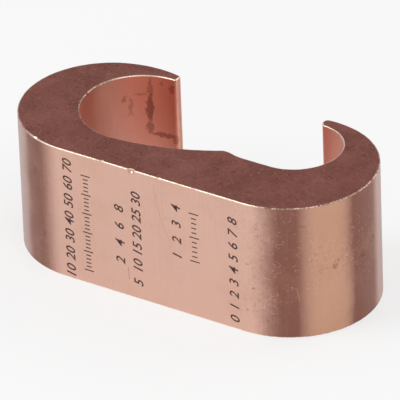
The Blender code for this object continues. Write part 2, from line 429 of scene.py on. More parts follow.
class Section:
    """The bar's section: its arcs, its corners and its closed outline."""

    def __init__(self, sizes: SectionSizes, marks: Sequence[EdgeMark]) -> None:
        """Works out every centre from the sizes, with the web on y = 0."""
        s = self.sizes = sizes
        self.marks = marks
        self.rod_x = -s.rod_shoulder
        self.rod_shoulder = Vector((0.0, s.rod_shoulder))
        self.rod_hook = Vector((self.rod_x + s.rod_hook, s.rod_shoulder))
        self.rod_tip = self.rod_hook + on_circle(Vector((0, 0)), s.rod_hook - s.rod_tip, s.rod_tip_from)
        self.rod_top = self.rod_tip.y + s.rod_tip
        self.rod_tip_x = self.rod_x + s.rod_reach
        groove = self.rod_x + s.rod_wall
        self.rod_floor = Vector((groove + s.rod_floor, s.web_thickness + s.rod_floor))
        self.rod_crown_radius = self.rod_top - s.rod_crown_wall - self.rod_floor.y
        self.rod_crown = Vector((groove + self.rod_crown_radius, self.rod_floor.y))

        self.tap_x = s.web_flat + s.tap_shoulder
        self.tap_shoulder = Vector((s.web_flat, s.tap_shoulder))
        self.tap_hook = Vector((self.tap_x - s.tap_hook, s.tap_shoulder))
        self.tap_tip_x = self.tap_x - s.tap_reach
        groove = self.tap_x - s.tap_wall
        self.tap_floor_y = s.web_thickness + s.ridge_rise - s.tap_floor_drop
        self.tap_floor = Vector((groove - s.tap_floor, self.tap_floor_y + s.tap_floor))
        self.tap_crown_radius = self.tap_hook.y + s.tap_hook - s.tap_crown_wall - self.tap_floor.y
        self.tap_crown = Vector((groove - self.tap_crown_radius, self.tap_floor.y))
        top = max(self.rod_top, self.tap_hook.y + s.tap_hook)
        self.middle = Vector(((self.rod_x + self.tap_x) / 2, top / 2))

    def arc(self, centre: Vector, radius: float, start: float, end: float) -> list[Vector]:
        """Points of an arc between two bearings, both included."""
        steps = max(2, math.ceil(abs(end - start) / self.sizes.arc_step))
        return arc_points(centre, radius, start, end - start, steps)

    def rounded(self, before: Vector, corner: Vector, after: Vector, radius: float) -> list[Vector]:
        """Points of the arc that rounds a corner between two straight runs."""
        back = (before - corner).normalized()
        ahead = (after - corner).normalized()
        half = back.angle(ahead) / 2
        centre = corner + (back + ahead).normalized() * (radius / math.sin(half))
        start = bearing(centre, corner + back * (radius / math.tan(half)))
        turn = (bearing(centre, corner + ahead * (radius / math.tan(half))) - start + 180) % 360 - 180
        steps = max(3, math.ceil(abs(turn) / CORNER_STEP))
        return arc_points(centre, radius, start, turn, steps)

    def ramp(self, ridge: Vector) -> list[Vector]:
        """Arc from the rod groove's floor up to the ridge."""
        start = on_circle(self.rod_floor, self.sizes.rod_floor, self.sizes.ramp_from)
        inward = (self.rod_floor - start).normalized()
        chord = ridge - start
        radius = chord.length_squared / (2 * chord.dot(inward))
        centre = start + inward * radius
        steps = max(2, math.ceil(chord.length / self.sizes.longest_step))
        first, last = bearing(centre, start), bearing(centre, ridge)
        return arc_points(centre, radius, first, last - first, steps)

    def rod_skin_at(self, x: float) -> Vector:
        """Point at x on the outside of the rod hook."""
        return over_circle(self.rod_tip, self.sizes.rod_tip, x)

    def rod_crown_at(self, x: float) -> Vector:
        """Point at x on the groove side of the rod hook."""
        return over_circle(self.rod_crown, self.rod_crown_radius, x)

    def tap_skin_at(self, x: float) -> Vector:
        """Point at x on the outside of the tap hook."""
        return over_circle(self.tap_hook, self.sizes.tap_hook, x)

    def tap_crown_at(self, x: float) -> Vector:
        """Point at x on the groove side of the tap hook."""
        return over_circle(self.tap_crown, self.tap_crown_radius, x)

    def _skin_points(self) -> list[Vector]:
        """Outside, from the rod tip's outer corner round the web to the tap tip."""
        s = self.sizes
        tip_outer = self.rod_skin_at(self.rod_tip_x)
        tip_inner = self.rod_crown_at(self.rod_tip_x)
        back = self.rod_skin_at(self.rod_tip_x - 2 * s.tip_corner)
        points = self.rounded(tip_inner, tip_outer, back, s.tip_corner)
        points += self.arc(self.rod_tip, s.rod_tip, bearing(self.rod_tip, back), s.rod_tip_from)
        points += self.arc(self.rod_hook, s.rod_hook, s.rod_tip_from, 180)
        points += self.arc(self.rod_shoulder, s.rod_shoulder, 180, 270)
        points += self.arc(self.tap_shoulder, s.tap_shoulder, 270, 360)
        hook_end = self.tap_skin_at(self.tap_tip_x + s.tap_tip_round)
        points += self.arc(self.tap_hook, s.tap_hook, 0, bearing(self.tap_hook, hook_end))
        return points

    def _tip_points(self) -> list[Vector]:
        """The tap tip's round nose."""
        s = self.sizes
        hook_end = self.tap_skin_at(self.tap_tip_x + s.tap_tip_round)
        corner = Vector((self.tap_tip_x, hook_end.y))
        inner = self.tap_crown_at(self.tap_tip_x + s.tap_tip_ease)
        low = Vector((self.tap_tip_x, inner.y + s.tap_tip_ease_height))
        along = self.tap_crown_at(inner.x + s.tip_corner)
        points = self.rounded(hook_end, corner, low, s.tap_tip_round)
        points += self.rounded(corner, low, inner, s.tip_corner)
        points += self.rounded(low, inner, along, s.tip_corner)
        return points

    def _groove_points(self) -> list[Vector]:
        """Inside, from the tap tip over the ridge to the rod tip."""
        s = self.sizes
        inner = self.tap_crown_at(self.tap_tip_x + s.tap_tip_ease + s.tip_corner)
        points = self.arc(self.tap_crown, self.tap_crown_radius, bearing(self.tap_crown, inner), 0)
        points += self.arc(self.tap_floor, s.tap_floor, 360, 270)
        land_start = Vector((self.tap_floor.x - s.ridge_to_tap, s.web_thickness + s.ridge_rise))
        land_end = land_start + Vector((s.ridge_land, 0))
        flank = s.tap_floor_drop / math.tan(math.radians(s.ridge_flank))
        foot = Vector((land_end.x + flank, self.tap_floor_y))
        floor = Vector((self.tap_floor.x, self.tap_floor_y))
        rise = self.ramp(land_start)
        points += self.rounded(floor, foot, land_end, s.ridge_blend)
        points += self.rounded(foot, land_end, land_start, s.ridge_edge)
        points += self.rounded(land_end, land_start, rise[-3], s.ridge_edge)
        points += reversed(rise[:-2])
        points += self.arc(self.rod_floor, s.rod_floor, s.ramp_from, 180)
        near_tip = self.rod_crown_at(self.rod_tip_x - 2 * s.tip_corner)
        tip_inner = self.rod_crown_at(self.rod_tip_x)
        tip_outer = self.rod_skin_at(self.rod_tip_x)
        points += self.arc(self.rod_crown, self.rod_crown_radius, 180, bearing(self.rod_crown, near_tip))
        points += self.rounded(near_tip, tip_inner, tip_outer, s.tip_corner)
        return points

    def mark_place(self, mark: EdgeMark) -> Vector:
        """Where on the outline a mark sits."""
        on_shoulder = on_circle(self.rod_shoulder, self.sizes.rod_shoulder, mark.facing)
        return on_shoulder + Vector((mark.along, 0.0))

    def _step_near(self, place: Vector) -> float:
        """Longest step of the outline at a place: fine where an edge mark needs it."""
        s = self.sizes
        for mark in self.marks:
            if (place - self.mark_place(mark)).length < 1.5 * mark.radius:
                return s.fine_step
        return s.longest_step

    def outline(self) -> list[OutlinePoint]:
        """The closed outline, counter-clockwise, with no step longer than the sizes allow."""
        corners: list[tuple[Vector, Zone]] = []
        for zone, points in (
            (Zone.SKIN, self._skin_points()),
            (Zone.TIP, self._tip_points()),
            (Zone.GROOVE, self._groove_points()),
        ):
            for point in points:
                if not corners or (point - corners[-1][0]).length > SHORTEST_STEP:
                    corners.append((point, zone))
        places: list[tuple[Vector, Zone]] = []
        for (point, zone), (following, _) in zip(corners, corners[1:] + corners[:1]):
            place = point
            while (following - place).length > 1e-6:
                places.append((place, zone))
                step = self._step_near(place)
                gap = (following - place).length
                place = following if gap < 1.5 * step else place.lerp(following, step / gap)
        made = []
        run = 0.0
        for number, (place, zone) in enumerate(places):
            before = places[number - 1][0]
            after = places[(number + 1) % len(places)][0]
            heading = (place - before).normalized() + (after - place).normalized()
            outward = Vector((heading.y, -heading.x)).normalized()
            run += (place - before).length if number else 0.0
            made.append(OutlinePoint(place, run, zone, outward))
        return made

    def run_at(self, outline: Sequence[OutlinePoint], place: Vector) -> float:
        """Distance along the outline of its point nearest to a place."""
        return min(outline, key=lambda point: (point.place - place).length).run

    def in_frame(self, place: Vector, height: float = 0.0) -> Vector:
        """A place on the section, in the part's frame, metres."""
        return Vector((place.x - self.middle.x, place.y - self.middle.y, height)) * MM


def new_object(name: str, data: ID) -> Object:
    """A new object of the scene."""
    made = bpy.data.objects.new(name, data)
    bpy.context.scene.collection.objects.link(made)
    return made


class PieceTree:
    """Geometry Nodes with named inputs, which a subclass fills and a guide object runs."""

    NAME = ""
    INPUTS: tuple[tuple[str, str, float], ...] = ()

    def __init__(self) -> None:
        """Builds the tree."""
        self.tree = bpy.data.node_groups.new(self.NAME, "GeometryNodeTree")
        face = self.tree.interface
        face.new_socket("Geometry", in_out="INPUT", socket_type="NodeSocketGeometry")
        self.identifiers: dict[str, str] = {}
        for name, kind, default in self.INPUTS:
            socket = face.new_socket(name, in_out="INPUT", socket_type=kind)
            socket.default_value = default
            self.identifiers[name] = socket.identifier
        finish = face.new_socket("Material", in_out="INPUT", socket_type="NodeSocketMaterial")
        self.identifiers["Material"] = finish.identifier
        face.new_socket("Geometry", in_out="OUTPUT", socket_type="NodeSocketGeometry")
        graph = Graph(self.tree)
        given = graph.node("NodeGroupInput")
        real = graph.node("GeometryNodeRealizeInstances", None, {"Geometry": self.grow(graph, given)})
        values = {"Geometry": graph.out(real), "Material": graph.out(given, "Material")}
        dressed = graph.node("GeometryNodeSetMaterial", None, values)
        graph.node("NodeGroupOutput", None, {"Geometry": graph.out(dressed)})

    def grow(self, graph: Graph, given: Node) -> Signal:
        """Adds the subclass's nodes and returns their geometry."""
        raise NotImplementedError

    def run(self, guide: Object, values: Mapping[str, Any]) -> Mesh:
        """Runs the tree on guide, which is then removed.

        Args:
            guide: the object that the tree starts from.
            values: input values by name.

        Returns:
            The result as a plain mesh.
        """
        modifier = guide.modifiers.new("sweep", "NODES")
        modifier.node_group = self.tree
        for key, value in values.items():
            modifier[self.identifiers[key]] = value
        bpy.context.view_layer.update()
        evaluated = guide.evaluated_get(bpy.context.evaluated_depsgraph_get())
        mesh = bpy.data.meshes.new_from_object(evaluated)
        guide.modifiers.remove(modifier)
        bpy.data.objects.remove(guide, do_unlink=True)
        return mesh


class SweepTree(PieceTree):
    """Geometry Nodes that sweep an edge and wall profile round a closed outline."""

    NAME = "bar_sweep"
    INPUTS = (
        ("Cut Width", "NodeSocketFloat", 19.0 * MM),
        ("Edge Break", "NodeSocketFloat", 0.15 * MM),
        ("Edge Wear", "NodeSocketFloat", 0.06 * MM),
        ("Wear Size", "NodeSocketFloat", 900.0),
        ("Wear Seed", "NodeSocketFloat", 3.0),
        ("Edge Steps", "NodeSocketInt", 4),
        ("Wall Steps", "NodeSocketInt", 56),
    )

    def _profile(self, graph: Graph, given: Node) -> Signal:
        """Quarter round, wall and quarter round, as a curve whose x is the way out of the metal."""
        edge_steps = graph.out(given, "Edge Steps")
        wall_steps = graph.out(given, "Wall Steps")
        radius = graph.out(given, "Edge Break")
        width = graph.out(given, "Cut Width")
        count = edge_steps * 2.0 + wall_steps + 1.0
        line = graph.node("GeometryNodeMeshLine", {"mode": "OFFSET"}, {"Count": count})
        index = graph.made("GeometryNodeInputIndex")
        low = (index / edge_steps).least(1.0) * (math.pi / 2)
        high = ((index - edge_steps - wall_steps) / edge_steps).most(0.0) * (math.pi / 2)
        share = ((index - edge_steps) / wall_steps).most(0.0).least(1.0)
        eased = (1.0 - (share * math.pi).cosine()) * 0.5
        inset = radius * (low.sine() + high.cosine() - 2.0)
        rise = radius * (1.0 - low.cosine() + high.sine()) + (width - radius * 2.0) * eased
        moved = graph.node(
            "GeometryNodeSetPosition",
            None,
            {"Geometry": graph.out(line), "Position": graph.vector(inset, -rise)},
        )
        stored = graph.out(moved)
        for name, value in (("inset", inset / radius), ("rise", rise / width)):
            keep = graph.node(
                "GeometryNodeStoreNamedAttribute",
                {"data_type": "FLOAT", "domain": "POINT"},
                {"Geometry": stored, "Name": name, "Value": value},
            )
            stored = graph.out(keep)
        return graph.made("GeometryNodeMeshToCurve", None, {"Mesh": stored})

    def grow(self, graph: Graph, given: Node) -> Signal:
        """Adds the sweep's nodes and returns its geometry."""
        path = graph.made("GeometryNodeMeshToCurve", None, {"Mesh": graph.out(given, "Geometry")})
        upright = graph.node("GeometryNodeSetCurveNormal", {"mode": "Z_UP"}, {"Curve": path})
        sweep = graph.node(
            "GeometryNodeCurveToMesh",
            None,
            {"Curve": graph.out(upright), "Profile Curve": self._profile(graph, given)},
        )
        inset = graph.node("GeometryNodeInputNamedAttribute", {"data_type": "FLOAT"}, {"Name": "inset"})
        settings = {"data_type": "FLOAT_VECTOR"}
        outward = graph.made("GeometryNodeInputNamedAttribute", settings, {"Name": "outward"})
        place = graph.made("GeometryNodeInputPosition")
        settings = {"noise_dimensions": "4D"}
        values = {
            "Vector": place,
            "W": graph.out(given, "Wear Seed"),
            "Scale": graph.out(given, "Wear Size"),
            "Detail": 3.0,
        }
        noise = graph.made("ShaderNodeTexNoise", settings, values)
        push = graph.out(inset) * noise.ramp(0.35, 0.75) * graph.out(given, "Edge Wear")
        shift = graph.scaled(outward, push)
        worn = graph.node(
            "GeometryNodeSetPosition", None, {"Geometry": graph.out(sweep), "Offset": shift}
        )
        return graph.out(worn)


@dataclass(frozen=True)
class Band:
    """A soft band of another colour along the extrusion; the bar's bands paint reflections and shade into the
    copper.

    start, full, fade and end are places on the outline in millimetres: the colour comes in from
    start to full and goes out from fade to end. strength is its share at the most.
    """

    start: float
    full: float
    fade: float
    end: float
    strength: float

    def mask(self, run: Signal) -> Signal:
        """Share of the band's colour at a place on the outline."""
        return run.ramp(self.start, self.full) * run.ramp(self.end, self.fade) * self.strength


@dataclass(frozen=True)
class Patch:
    """A blot with an uneven edge, as half sizes round a place on the wall, millimetres."""

    run: float
    rise: float
    half_run: float
    half_rise: float
    strength: float

    def mask(self, run: Signal, rise: Signal) -> Signal:
        """Share of the blot's colour at a place on the wall."""
        across = (run - self.run) / self.half_run
        up = (rise - self.rise) / self.half_rise
        return (across * across + up * up).ramp(1.30, 0.45) * self.strength


@dataclass(frozen=True)
class Hairline:
    """A long thin mark between two places on the wall, millimetres; sag bends it sideways."""

    run: float
    rise: float
    end_run: float
    end_rise: float
    sag: float
    width: float
    strength: float

    def mask(self, run: Signal, rise: Signal) -> Signal:
        """Share of the mark at a place on the wall."""
        length = math.hypot(self.end_run - self.run, self.end_rise - self.rise)
        way_run = (self.end_run - self.run) / length
        way_rise = (self.end_rise - self.rise) / length
        along = ((run - self.run) * way_run + (rise - self.rise) * way_rise) / length
        across = (run - self.run) * way_rise - (rise - self.rise) * way_run
        bowed = across - along * (1.0 - along) * (4.0 * self.sag)
        inside = along.ramp(0.0, 0.04) * along.ramp(1.0, 0.96)
        return (abs(bowed) / self.width).ramp(1.0, 0.3) * inside * self.strength


PlaceAt = Callable[[float], float]


def band(at: PlaceAt, start: float, full: float, fade: float, end: float, strength: float) -> Band:
    """A band between bearings that at turns into places on the outline."""
    return Band(at(start), at(full), at(fade), at(end), strength)


def patches(at: PlaceAt, *rows: tuple[float, float, float, float, float]) -> list[Patch]:
    """Patches from rows that start with a bearing, which at turns into a place on the outline."""
    return [Patch(at(bearing_there), *rest) for bearing_there, *rest in rows]


def new_material(name: str) -> tuple[Material, Graph, Node]:
    """An empty material with a Principled shader joined to its output."""
    material = bpy.data.materials.new(name)
    material.use_nodes = True
    graph = Graph(material.node_tree)
    shader = graph.node("ShaderNodeBsdfPrincipled")
    graph.node("ShaderNodeOutputMaterial", None, {"Surface": graph.out(shader)})
    return material, graph, shader


def bumped(graph: Graph, height: Signal, distance: float, strength: float = 1.0) -> Signal:
    """Normal of a surface raised by height times distance, metres."""
    values = {"Strength": strength, "Distance": distance, "Height": height}
    return graph.made("ShaderNodeBump", None, values, key="Normal")


def total(masks: Iterable[Signal]) -> Signal | float:
    """Sum of some masks, held to 1."""
    found: Signal | float = 0.0
    for mask in masks:
        found = mask + found
    return found.least(1.0) if isinstance(found, Signal) else found


@dataclass(frozen=True)
class DrawnCopper:
    """The extruded skin: satin pink copper with soft tarnish, drawing lines and handling scratches, and bands
    of painted reflection and painted shade along the extrusion.
    """

    name: str
    clean: Colour
    # Darker copper tone, which is also the colour of the painted shade bands.
    dull_and_shade: Colour
    stain: Colour
    scratch: Colour
    roughness: float
    ochre: Colour = srgb(204, 152, 116)
    # Colour of the painted sheen: pale grey-pink reflected light.
    painted_sheen: Colour = srgb(180, 150, 144)
    # Dark bands of painted shade: dark reflections across the rounded ends, and shade in the groove.
    painted_shade_bands: tuple[Band, ...] = ()
    # Bands of painted reflection in an ochre tint.
    painted_ochre_reflection_bands: tuple[Band, ...] = ()
    # Bands of painted sheen near the silhouettes of the ends.
    painted_sheen_bands: tuple[Band, ...] = ()
    patches: tuple[Patch, ...] = ()
    hairlines: tuple[Hairline, ...] = ()
    dings: tuple[Patch, ...] = ()
    scratching: float = 1.0

    def surface_place(self, graph: Graph) -> tuple[Signal, Signal, Signal]:
        """Place on the unrolled skin as a vector in millimetres, with its run and height."""
        _, _, height = graph.parts(graph.object_place())
        run = graph.attribute("run")
        rise = height / MM
        return graph.vector(run, rise), run, rise

    def make(self) -> Material:
        """Builds the material."""
        material, graph, shader = new_material(self.name)
        place, run, rise = self.surface_place(graph)
        drawn = graph.noise(graph.vector(run * 3.0, rise * 0.12), 1.0, 5.0, 0.6, 1.0)
        fine_lines = graph.noise(graph.vector(run * 14.0, rise * 0.10), 1.0, 3.0, 0.6, 2.0)
        cloud = graph.noise(place, 0.22, 5.0, 0.6, 3.0)
        mottle = graph.noise(place, 1.7, 6.0, 0.65, 4.0)
        grain = graph.noise(place, 9.0, 3.0, 0.6, 5.0)
        specks = graph.pits(place, 1.5, 0.16, 11.0)
        long_marks = graph.scratches(place, 4.2, 1.6, 0.040, 0.50, 7.0)
        short_marks = graph.scratches(place, 1.7, 0.70, 0.032, 0.50, 23.0)
        tiny_marks = graph.scratches(place, 0.9, 0.36, 0.034, 0.45, 41.0)
        warp_run = run + (mottle - 0.5) * 1.9 + (grain - 0.5) * 0.35
        warp_rise = rise + (cloud - 0.5) * 1.6 + (mottle - 0.5) * 1.2
        handled = total(patch.mask(warp_run, warp_rise) for patch in self.dings)
        wear = handled * self.scratching + cloud.ramp(0.35, 0.70) * 0.30 * self.scratching
        flecks = graph.pits(place, 3.4, 0.30, 31.0) * handled
        glints = graph.pits(place, 2.6, 0.20, 47.0) * handled * 0.8
        ochre = graph.noise(place, 0.16, 3.0, 0.5, 9.0).ramp(0.48, 0.68)
        speckle = graph.noise(place, 4.2, 2.0, 0.5, 14.0)
        bright_grit = speckle.ramp(0.66, 0.72) * (handled + 0.10)
        dark_grit = speckle.ramp(0.34, 0.28) * (handled + 0.06)

        # Painted shade: dark bands that stand for dark reflections across the rounded ends and for shade in
        # the groove; the noise terms added next are the copper's own tone.
        dull_and_shade = total(band.mask(run + (mottle - 0.5) * 0.7 + (cloud - 0.5) * 1.4) for band in self.painted_shade_bands)
        dull_and_shade = (drawn - 0.5) * 0.22 + (cloud - 0.5) * 0.30 + (fine_lines - 0.5) * 0.08 + dull_and_shade
        lines = total(line.mask(run, rise) for line in self.hairlines)
        blots = total(patch.mask(warp_run, warp_rise) for patch in self.patches)
        pale = (long_marks * 0.5 + short_marks * 0.6 + tiny_marks * 0.6 + glints) * wear.least(1.0)
        pale = pale + bright_grit * 0.45
        layers = (
            (dull_and_shade, self.dull_and_shade),
            (ochre * 0.16, self.ochre),
            # Painted reflection: an ochre tint on the paler band between the dark bands at the tap end.
            (total(band.mask(run) for band in self.painted_ochre_reflection_bands), self.ochre),
            (mottle.ramp(0.50, 0.72) * handled * 0.22, self.stain),
            # Painted sheen: pale grey-pink strips that stand for reflected light near each end's silhouette.
            (total(band.mask(run) for band in self.painted_sheen_bands), self.painted_sheen),
            (mottle.ramp(0.56, 0.74) * cloud.ramp(0.46, 0.66) * 0.22, self.stain),
            (blots, self.stain),
            ((grain - 0.5).most(0.0) * 0.45, self.dull_and_shade),
            (specks * 0.55 + flecks * 0.7 + dark_grit * 0.5, self.stain),
            (pale, self.scratch),
            (lines, self.stain),
        )
        colour = graph.layered(self.clean, layers)
        rough = self.roughness + (drawn - 0.5) * 0.10 + (mottle - 0.5) * 0.12 - pale * 0.10 + flecks * 0.15
        height = fine_lines * 0.25 + grain * 0.30 + mottle * 0.5 - specks * 1.2 - flecks * 3.0
        height = height - pale - lines
        normal = bumped(graph, height, 0.006 * MM)
        graph.feed(shader, {"Base Color": colour, "Metallic": 1.0, "Roughness": rough, "Normal": normal})
        return material


@dataclass(frozen=True)
class SawnCopper:
    """The cut faces: darker, rougher copper with pale random scratches, pits and blotches."""

    name: str
    clean: Colour
    dark: Colour
    pit: Colour
    scratch: Colour
    roughness: float

    def make(self) -> Material:
        """Builds the material."""
        material, graph, shader = new_material(self.name)
        spot = graph.object_place()
        x, y, z = graph.parts(spot)
        place = graph.vector(x / MM, y / MM, 0.0)
        side = graph.vector(x / MM, y / MM, z / MM)
        cloud = graph.noise(side, 0.28, 5.0, 0.6, 6.0)
        mottle = graph.noise(side, 1.9, 6.0, 0.68, 7.0)
        grain = graph.noise(side, 8.0, 4.0, 0.65, 8.0)
        specks = graph.pits(side, 2.0, 0.20, 5.0)
        long_marks = graph.scratches(place, 3.6, 1.7, 0.045, 0.40, 3.0)
        short_marks = graph.scratches(place, 1.25, 0.55, 0.045, 0.45, 17.0)
        tiny_marks = graph.scratches(place, 0.62, 0.22, 0.045, 0.50, 29.0)
        glints = graph.pits(side, 2.6, 0.26, 61.0)
        worn = cloud.ramp(0.38, 0.66) * 0.8 + 0.2
        pale = (long_marks * 0.30 + short_marks * 0.45 + tiny_marks * 0.4 + glints * 0.5) * worn
        layers = (
            (cloud.ramp(0.25, 0.75) * 0.8, self.dark),
            (mottle.ramp(0.45, 0.75) * 0.55, self.dark),
            ((grain - 0.5).most(0.0) * 0.9, self.pit),
            (mottle.ramp(0.55, 0.66) * cloud.ramp(0.36, 0.58) * 0.5, self.pit),
            (mottle.ramp(0.42, 0.30) * cloud.ramp(0.60, 0.40) * 0.28, self.scratch),
            (specks * 0.8, self.pit),
            (pale, self.scratch),
        )
        colour = graph.layered(self.clean, layers)
        rough = self.roughness + (mottle - 0.5) * 0.16 - pale * 0.12 + specks * 0.1
        height = grain * 0.8 + mottle * 0.8 - specks * 2.0 - short_marks - long_marks - tiny_marks * 0.7
        normal = bumped(graph, height, 0.008 * MM)
        graph.feed(shader, {"Base Color": colour, "Metallic": 1.0, "Roughness": rough, "Normal": normal})
        return material


@dataclass(frozen=True)
class BrokenEdge:
    """The edge between skin and cut face: rubbed copper whose pale colour also paints part of the key lamp's
    highlight line, darker in its nicks and in bands of painted shade where that line fades.
    """

    name: str
    # Paler than the skin's copper: rubbed copper plus a painted highlight along the edge.
    rubbed_and_highlight: Colour
    dull_and_shade: Colour
    roughness: float
    painted_shade_bands: tuple[Band, ...] = ()

    def make(self) -> Material:
        """Builds the material."""
        material, graph, shader = new_material(self.name)
        run = graph.attribute("run")
        # Painted shade: bands where the edge's highlight line is dimmed.
        painted_shade = total(band.mask(run) for band in self.painted_shade_bands)
        _, _, height = graph.parts(graph.object_place())
        place = graph.vector(run, height / MM)
        worn = graph.noise(place, 0.9, 5.0, 0.6, 12.0)
        chips = graph.noise(place, 4.5, 4.0, 0.7, 13.0)
        share = worn.ramp(0.52, 0.70) * 0.5 + chips.ramp(0.56, 0.66) * 0.5 + chips.ramp(0.62, 0.46) * painted_shade
        colour = graph.mix(share, self.rubbed_and_highlight, self.dull_and_shade)
        rough = self.roughness + (chips - 0.5) * 0.2
        normal = bumped(graph, chips, 0.02 * MM)
        graph.feed(shader, {"Base Color": colour, "Metallic": 1.0, "Roughness": rough, "Normal": normal})
        return material


@dataclass
class ConnectorBar:
    """The one piece: the extruded bar, cut to width."""

    sizes: SectionSizes = field(default_factory=SectionSizes)
    marks: tuple[EdgeMark, ...] = (
        EdgeMark(radius=0.58, depth=0.34, along=10.91),
        EdgeMark(radius=0.16, depth=0.30, along=6.53),
        EdgeMark(radius=0.16, depth=0.30, along=15.16),
        EdgeMark(radius=0.16, depth=0.30, facing=250.0),
    )

    def guide(self, section: Section, outline: Sequence[OutlinePoint]) -> Object:
        """The outline as a closed loop of edges that carries its run, zone and outward way."""
        mesh = bpy.data.meshes.new("outline")
        count = len(outline)
        edges = [(number, (number + 1) % count) for number in range(count)]
        mesh.from_pydata([section.in_frame(point.place) for point in outline], edges, [])
        runs = mesh.attributes.new("run", "FLOAT", "POINT")
        zones = mesh.attributes.new("zone", "FLOAT", "POINT")
        ways = mesh.attributes.new("outward", "FLOAT_VECTOR", "POINT")
        for number, point in enumerate(outline):
            runs.data[number].value = point.run
            zones.data[number].value = float(point.zone.value)
            ways.data[number].vector = (point.outward.x, point.outward.y, 0.0)
        made = new_object("outline", mesh)
        return made

    def strike_marks(self, section: Section, mesh: Mesh) -> None:
        """Presses the marks into the upper edge, against the way the wall faces."""
        top = self.sizes.cut_width
        for mark in self.marks:
            centre = section.in_frame(section.mark_place(mark)) / MM
            out = on_circle(Vector((0.0, 0.0)), 1.0, mark.facing)
            for vertex in mesh.vertices:
                place = vertex.co / MM
                below = top - place.z
                if below > mark.radius:
                    continue
                away = place.to_2d() - centre.to_2d()
                behind = -away.dot(out)
                across = (away + out * behind).length
                share = math.hypot(across, below) / mark.radius
                floor = mark.depth * min(1.0, (1.0 - share) / MARK_WALL_SHARE)
                if abs(behind) < mark.depth and floor > behind:
                    inward = out * (behind - floor) * MM
                    vertex.co += Vector((inward.x, inward.y, 0.0))

    def seat_web(self, section: Section, mesh: Mesh) -> None:
        """Draws the web in by the room that the print's film needs, and the hooks to the CAD box."""
        plane = section.in_frame(Vector((0.0, self.sizes.film_room))).y
        for vertex in mesh.vertices:
            vertex.co.y = min(max(vertex.co.y, plane), CAD_BOX[1][1])

    def close_ends(self, mesh: Mesh) -> None:
        """Fills both cut faces and gives each face its finish."""
        work = bmesh.new()
        work.from_mesh(mesh)
        bmesh.ops.remove_doubles(work, verts=work.verts, dist=WELD_DISTANCE)
        open_edges = [edge for edge in work.edges if edge.is_boundary]
        filled = bmesh.ops.holes_fill(work, edges=open_edges, sides=0)
        caps = set(filled["faces"])
        bmesh.ops.recalc_face_normals(work, faces=work.faces)
        inset = work.verts.layers.float["inset"]
        zone = work.verts.layers.float["zone"]
        for face in work.faces:
            face.smooth = face not in caps
            if face in caps:
                face.material_index = Finish.CUT.value
                continue
            edge_share = sum(vertex[inset] for vertex in face.verts) / len(face.verts)
            zone_share = sum(vertex[zone] for vertex in face.verts) / len(face.verts)
            if edge_share < RIM_INSET:
                face.material_index = Finish.RIM.value
            elif zone_share > 0.5:
                face.material_index = Finish.GROOVE.value
            else:
                face.material_index = Finish.SKIN.value
        work.to_mesh(mesh)
        work.free()

    def build(self) -> Object:
        """Builds and dresses the bar."""
        section = Section(self.sizes, self.marks)
        outline = section.outline()
        finishes = self.finishes(section, outline)
        tree = SweepTree()
        values = {"Cut Width": self.sizes.cut_width * MM, "Material": finishes[0]}
        bar = new_object("connector_bar", tree.run(self.guide(section, outline), values))
        bar.data.materials.clear()
        for finish in finishes:
            bar.data.materials.append(finish)
        self.close_ends(bar.data)
        self.seat_web(section, bar.data)
        self.strike_marks(section, bar.data)
        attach(bar, BODY)
        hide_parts(NODE)
        log.info("%s: %d faces, outline of %d points", bar.name, len(bar.data.polygons), len(outline))
        return bar

    def finishes(self, section: Section, outline: Sequence[OutlinePoint]) -> list[Material]:
        """The four finishes, in the order of Finish."""
        s = self.sizes

        def tap_at(degrees: float) -> float:
            """Run of the point at a bearing on the tap shoulder, or past 360 on the hook."""
            if degrees > 360:
                return section.run_at(outline, on_circle(section.tap_hook, s.tap_hook, degrees))
            return section.run_at(outline, on_circle(section.tap_shoulder, s.tap_shoulder, degrees))

        def rod_at(degrees: float) -> float:
            """Run of the point at a bearing on the rod shoulder."""
            return section.run_at(outline, on_circle(section.rod_shoulder, s.rod_shoulder, degrees))

        def crown_at(degrees: float) -> float:
            """Run of the point at a bearing on the rod groove's crown."""
            return section.run_at(outline, on_circle(section.rod_crown, section.rod_crown_radius, degrees))

        web = section.run_at(outline, Vector((0.0, 0.0)))
        # Painted shade: dark bands that stand for dark reflections across both rounded ends, and darker bands
        # on the outsides of both hooks.
        painted_shade_bands = (
            band(rod_at, 226, 244, 252, 270, 0.97),
            band(tap_at, 273, 298, 304, 321, 1.03),
            band(tap_at, 306, 320, 332, 346, 0.28),
            band(tap_at, 332, 350, 363, 381, 1.12),
            band(tap_at, 420, 440, 470, 490, 0.5),
            Band(rod_at(180) - 24.0, rod_at(180) - 16.0, rod_at(180) - 9.0, rod_at(180) - 2.0, 0.5),
        )
